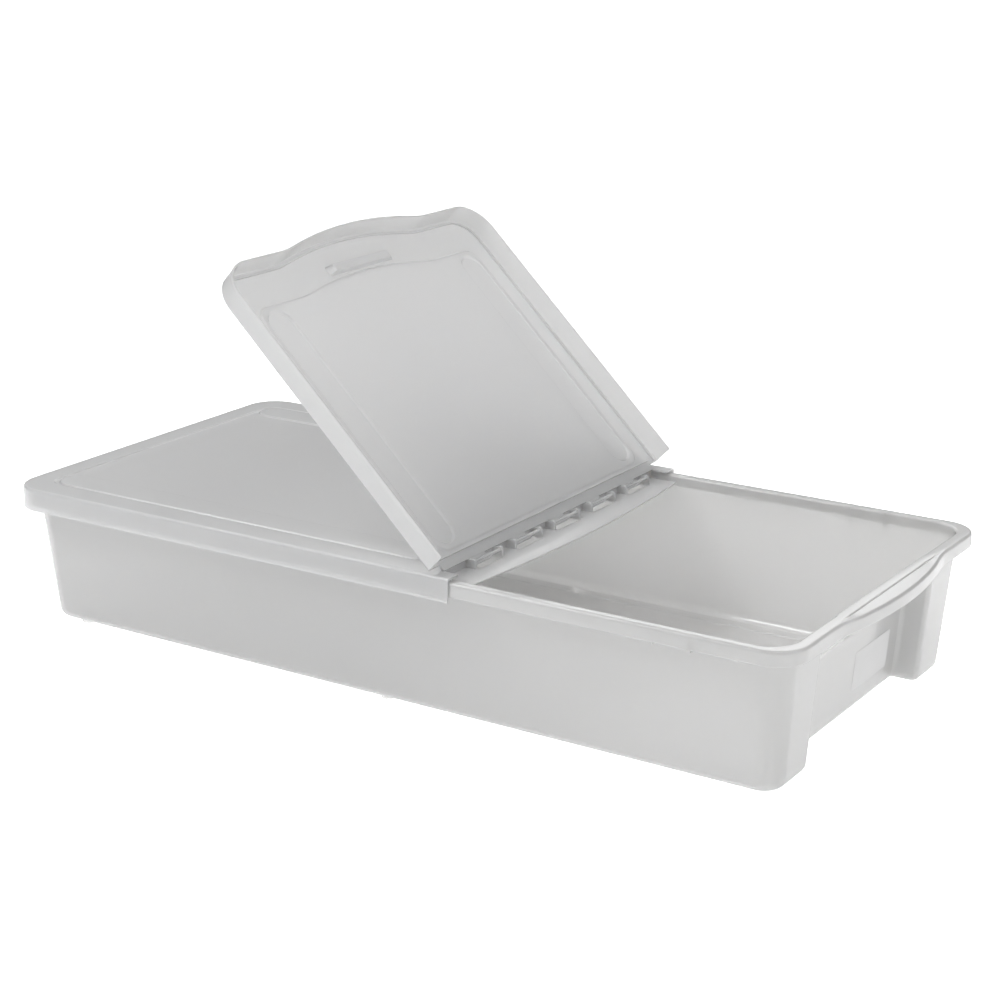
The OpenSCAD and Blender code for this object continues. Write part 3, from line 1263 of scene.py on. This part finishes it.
@dataclass
class Label:
    """The blank label on the back of the front hand recess."""

    corner: float = 2.5
    thick: float = 0.25
    edge: float = 0.15

    CORNER_POINTS = 7
    FULL_DEPTH = 0.6

    def build(self) -> bpy.types.Object:
        """Builds the label as a thin slab that follows the panel's slope.

        Returns:
            The label, as one closed solid.
        """
        low, high = (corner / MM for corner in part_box("label"))
        half_y, half_z = (high.y - low.y) / 2, (high.z - low.z) / 2
        mid_y, mid_z = (high.y + low.y) / 2, (high.z + low.z) / 2
        lean = (high.x - self.thick - low.x) / (high.z - low.z)
        r = self.corner
        outline = []
        for k, (sy, sz) in enumerate(((1, 1), (-1, 1), (-1, -1), (1, -1))):
            for a in sweep(self.CORNER_POINTS) + k * math.pi / 2:
                across, up = r * math.cos(a), r * math.sin(a)
                outline.append((sy * (half_y - r) + across, sz * (half_z - r) + up))
        bm = bmesh.new()
        rings = []
        levels = ((0.0, 0.0), (self.thick * self.FULL_DEPTH, 0.0), (self.thick, self.edge))
        for out, inset in levels:
            rings.append([])
            for y, z in outline:
                y, z = y * (1 - inset / half_y), z * (1 - inset / half_z)
                x = low.x + lean * (z + half_z) + out
                rings[-1].append(bm.verts.new((x, mid_y + y, mid_z + z)))
        for near, far in zip(rings, rings[1:]):
            for i in range(len(outline)):
                bm.faces.new((near[i - 1], near[i], far[i], far[i - 1]))
        bm.faces.new(rings[0])
        bm.faces.new(rings[-1])
        bmesh.ops.recalc_face_normals(bm, faces=bm.faces)
        return from_bmesh(bm, "blank_label")


# ---------------------------------------------------------------- finishes


def add_node(tree: bpy.types.NodeTree, kind: str, **settings: object) -> bpy.types.Node:
    """Adds a node and sets its properties.

    Args:
        tree: The node tree.
        kind: The node's type.
        **settings: Property names and values.

    Returns:
        The node.
    """
    node = tree.nodes.new(kind)
    for name, value in settings.items():
        setattr(node, name, value)
    return node


def moulding_group() -> bpy.types.NodeTree:
    """Builds the shared group that gives moulded plastic its clouding and its skin.

    Returns:
        A group with inputs Base, Cloud, Scale, Roughness, Spread and Grain, and outputs
        Color, Roughness and Height.
    """
    group = bpy.data.node_groups.new("moulded_skin", "ShaderNodeTree")
    sockets = [
        ("Base", "NodeSocketColor", (0.8, 0.8, 0.8, 1)),
        ("Cloud", "NodeSocketFloat", 0.03),
        ("Scale", "NodeSocketFloat", 5.0),
        ("Roughness", "NodeSocketFloat", 0.3),
        ("Spread", "NodeSocketFloat", 0.05),
        ("Grain", "NodeSocketFloat", 0.2),
    ]
    for name, kind, value in sockets:
        socket = group.interface.new_socket(name, in_out="INPUT", socket_type=kind)
        socket.default_value = value
    group.interface.new_socket("Color", in_out="OUTPUT", socket_type="NodeSocketColor")
    group.interface.new_socket("Roughness", in_out="OUTPUT", socket_type="NodeSocketFloat")
    group.interface.new_socket("Height", in_out="OUTPUT", socket_type="NodeSocketFloat")
    links = group.links
    given = add_node(group, "NodeGroupInput")
    result = add_node(group, "NodeGroupOutput")
    place = add_node(group, "ShaderNodeTexCoord")
    cloud = add_node(group, "ShaderNodeTexNoise")
    cloud.inputs["Detail"].default_value = CLOUD_DETAIL
    grain = add_node(group, "ShaderNodeTexNoise")
    grain.inputs["Scale"].default_value = GRAIN_SCALE
    grain.inputs["Detail"].default_value = GRAIN_DETAIL
    links.new(place.outputs["Object"], cloud.inputs["Vector"])
    links.new(place.outputs["Object"], grain.inputs["Vector"])
    links.new(given.outputs["Scale"], cloud.inputs["Scale"])
    centred = add_node(group, "ShaderNodeMath", operation="SUBTRACT")
    centred.inputs[1].default_value = 0.5
    links.new(cloud.outputs["Fac"], centred.inputs[0])
    shade = add_node(group, "ShaderNodeMath", operation="MULTIPLY_ADD")
    shade.inputs[2].default_value = 1.0
    links.new(centred.outputs[0], shade.inputs[0])
    links.new(given.outputs["Cloud"], shade.inputs[1])
    tint = add_node(group, "ShaderNodeMix", data_type="RGBA", blend_type="MULTIPLY")
    tint.inputs["Factor"].default_value = 1.0
    links.new(given.outputs["Base"], tint.inputs["A"])
    links.new(shade.outputs[0], tint.inputs["B"])
    links.new(tint.outputs["Result"], result.inputs["Color"])
    rough = add_node(group, "ShaderNodeMath", operation="MULTIPLY_ADD")
    links.new(centred.outputs[0], rough.inputs[0])
    links.new(given.outputs["Spread"], rough.inputs[1])
    links.new(given.outputs["Roughness"], rough.inputs[2])
    links.new(rough.outputs[0], result.inputs["Roughness"])
    height = add_node(group, "ShaderNodeMath", operation="MULTIPLY")
    links.new(grain.outputs["Fac"], height.inputs[0])
    links.new(given.outputs["Grain"], height.inputs[1])
    links.new(height.outputs[0], result.inputs["Height"])
    return group


@dataclass(frozen=True)
class Finish:
    """One finish, dressed through the shared moulding group."""

    name: str
    base: tuple[float, float, float]
    cloud: float
    scale: float
    roughness: float
    spread: float
    grain: float
    subsurface: float = 0.0
    subsurface_depth: float = 0.0
    transmission: float = 0.0
    coat: float = 0.0
    coat_roughness: float = 0.1
    ior: float = 1.49

    GRAIN_DEPTH = 0.0001
    GRAIN_STRENGTH = 0.2
    SUBSURFACE_RADIUS = (1.0, 0.98, 0.95)

    def material(self, group: bpy.types.NodeTree) -> bpy.types.Material:
        """Makes the material.

        Args:
            group: The shared moulding group.

        Returns:
            The material.
        """
        made = bpy.data.materials.new(self.name)
        made.use_nodes = True
        tree = made.node_tree
        shader = tree.nodes["Principled BSDF"]
        skin = add_node(tree, "ShaderNodeGroup", node_tree=group)
        skin.inputs["Base"].default_value = (*self.base, 1)
        for name in ("Cloud", "Scale", "Roughness", "Spread", "Grain"):
            skin.inputs[name].default_value = getattr(self, name.lower())
        bump = add_node(tree, "ShaderNodeBump")
        bump.inputs["Distance"].default_value = self.GRAIN_DEPTH
        bump.inputs["Strength"].default_value = self.GRAIN_STRENGTH
        tree.links.new(skin.outputs["Color"], shader.inputs["Base Color"])
        tree.links.new(skin.outputs["Roughness"], shader.inputs["Roughness"])
        tree.links.new(skin.outputs["Height"], bump.inputs["Height"])
        tree.links.new(bump.outputs["Normal"], shader.inputs["Normal"])
        shader.inputs["IOR"].default_value = self.ior
        shader.inputs["Transmission Weight"].default_value = self.transmission
        shader.inputs["Coat Weight"].default_value = self.coat
        shader.inputs["Coat Roughness"].default_value = self.coat_roughness
        if self.subsurface > 0:
            shader.inputs["Subsurface Weight"].default_value = self.subsurface
            shader.inputs["Subsurface Radius"].default_value = self.SUBSURFACE_RADIUS
            shader.inputs["Subsurface Scale"].default_value = self.subsurface_depth
        return made


TUB_PLASTIC = Finish(
    name="milky_plastic",
    base=(0.855, 0.853, 0.847),
    cloud=0.02,
    scale=3.0,
    roughness=0.32,
    spread=0.03,
    grain=0.4,
    subsurface=1.0,
    subsurface_depth=0.008,
    transmission=0.5,
    coat=1.0,
    coat_roughness=0.07,
)
LID_PLASTIC = replace(
    TUB_PLASTIC,
    name="milky_lid_plastic",
    base=(0.94, 0.94, 0.94),
    roughness=0.36,
    transmission=0.42,
    coat=0.9,
    coat_roughness=0.1,
)
LABEL_PAPER = Finish(
    name="label_paper",
    base=(0.82, 0.82, 0.82),
    cloud=0.04,
    scale=60.0,
    roughness=0.6,
    spread=0.05,
    grain=1.0,
)


# ---------------------------------------------------------------- studio


def white(
    tree: bpy.types.NodeTree, socket: bpy.types.NodeSocket, strength: float, lift: float
) -> None:
    """Sets a light's strength, and lifts it to white where the camera sees it directly.

    Args:
        tree: The node tree.
        socket: The strength's socket.
        strength: Strength of the light that falls on the box.
        lift: What is added for the camera alone.
    """
    path = add_node(tree, "ShaderNodeLightPath")
    lifted = add_node(tree, "ShaderNodeMath", operation="MULTIPLY_ADD")
    lifted.inputs[1].default_value = lift
    lifted.inputs[2].default_value = strength
    tree.links.new(path.outputs["Is Camera Ray"], lifted.inputs[0])
    tree.links.new(lifted.outputs[0], socket)


@dataclass(frozen=True)
class Lamp:
    """One soft lamp: its name, its place and size in metres, and its power in watts."""

    name: str
    place: tuple[float, float, float]
    size: tuple[float, float]
    power: float

    def hang(self, target: Vector) -> None:
        """Hangs the lamp.

        Args:
            target: What it faces.
        """
        data = bpy.data.lights.new(self.name, "AREA")
        data.shape = "RECTANGLE"
        data.size, data.size_y = self.size
        data.energy = self.power
        lamp = bpy.data.objects.new(self.name, data)
        lamp.location = self.place
        aim = target - Vector(self.place)
        lamp.rotation_euler = aim.to_track_quat("-Z", "Y").to_euler()
        bpy.context.scene.collection.objects.link(lamp)


@dataclass
class Studio:
    """A pale floor, soft light from all round, and the camera."""

    target: tuple[float, float, float] = (0.0218, 0.0, 0.1733)
    azimuth: float = 32.895
    elevation: float = 17.173
    distance: float = 2.481
    lens: float = 79.4
    floor_half: float = 40.0
    floor_glow: float = 0.5
    floor_lift: float = 0.3
    floor_tone: float = 0.95
    floor_roughness: float = 0.9
    sky_glow: float = 0.32
    lamps: tuple[Lamp, ...] = (
        Lamp("top", (1.5, 0.1, 2.6), (2.0, 2.0), 24),
        Lamp("edge", (-1.3, -1.1, 2.3), (1.5, 1.3), 34),
        Lamp("back", (-2.2, 3.4, 2.6), (5.0, 1.9), 42),
    )

    def build(self) -> None:
        """Builds the floor, the lights and the camera."""
        self.floor()
        self.sky()
        for lamp in self.lamps:
            lamp.hang(Vector(self.target))
        self.camera()
        bpy.context.scene.view_settings.view_transform = "Standard"

    def floor(self) -> None:
        """Lays the pale floor."""
        bm = bmesh.new()
        bmesh.ops.create_grid(bm, x_segments=1, y_segments=1, size=self.floor_half / MM)
        floor = from_bmesh(bm, "floor")
        made = bpy.data.materials.new("pale_floor")
        made.use_nodes = True
        shader = made.node_tree.nodes["Principled BSDF"]
        shader.inputs["Base Color"].default_value = (*[self.floor_tone] * 3, 1)
        shader.inputs["Roughness"].default_value = self.floor_roughness
        shader.inputs["Emission Color"].default_value = (1, 1, 1, 1)
        glow = shader.inputs["Emission Strength"]
        white(made.node_tree, glow, self.floor_glow, self.floor_lift)
        floor.data.materials.append(made)

    def sky(self) -> None:
        """Lights the scene evenly from all round."""
        world = bpy.data.worlds.new("soft_room")
        world.use_nodes = True
        background = world.node_tree.nodes["Background"]
        background.inputs["Color"].default_value = (1, 1, 1, 1)
        white(world.node_tree, background.inputs["Strength"], self.sky_glow, 1 - self.sky_glow)
        bpy.context.scene.world = world

    def camera(self) -> None:
        """Sets the camera at the chosen angle."""
        data = bpy.data.cameras.new("camera")
        data.lens = self.lens
        camera = bpy.data.objects.new("camera", data)
        a, e = math.radians(self.azimuth), math.radians(self.elevation)
        back = Vector((math.sin(a) * math.cos(e), -math.cos(a) * math.cos(e), math.sin(e)))
        camera.location = Vector(self.target) + back * self.distance
        camera.rotation_euler = (-back).to_track_quat("-Z", "Y").to_euler()
        bpy.context.scene.collection.objects.link(camera)
        bpy.context.scene.camera = camera


# ---------------------------------------------------------------- main


def mount(
    piece: bpy.types.Object, node: str, body: str, made: bpy.types.Material
) -> None:
    """Dresses a piece and puts it in the place of its CAD node.

    Args:
        piece: The piece.
        node: The CAD node that it stands for.
        body: The body that it rides on.
        made: Its material.
    """
    piece.data.materials.clear()
    piece.data.materials.append(made)
    smooth(piece)
    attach(piece, body)
    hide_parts(node)
    log.info("%s: %d faces, rides on %s", piece.name, len(piece.data.polygons), body)


def main() -> None:
    """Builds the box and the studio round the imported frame."""
    logging.basicConfig(level=logging.INFO, format="%(message)s")
    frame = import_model()
    sizes = BoxSizes.read(frame)
    hinge = Hinge(sizes)
    skin = moulding_group()
    tub_plastic, lid_plastic = TUB_PLASTIC.material(skin), LID_PLASTIC.material(skin)
    mount(Tub(sizes).build(), "tub", "tub", tub_plastic)
    mount(MainLid(sizes, hinge=hinge).build(), "main_lid", "main_lid", lid_plastic)
    mount(Flap(sizes, hinge=hinge).build(), "flap", "flap", lid_plastic)
    mount(Label().build(), "label", "tub", LABEL_PAPER.material(skin))
    Studio().build()


if __name__ == "__main__":
    main()
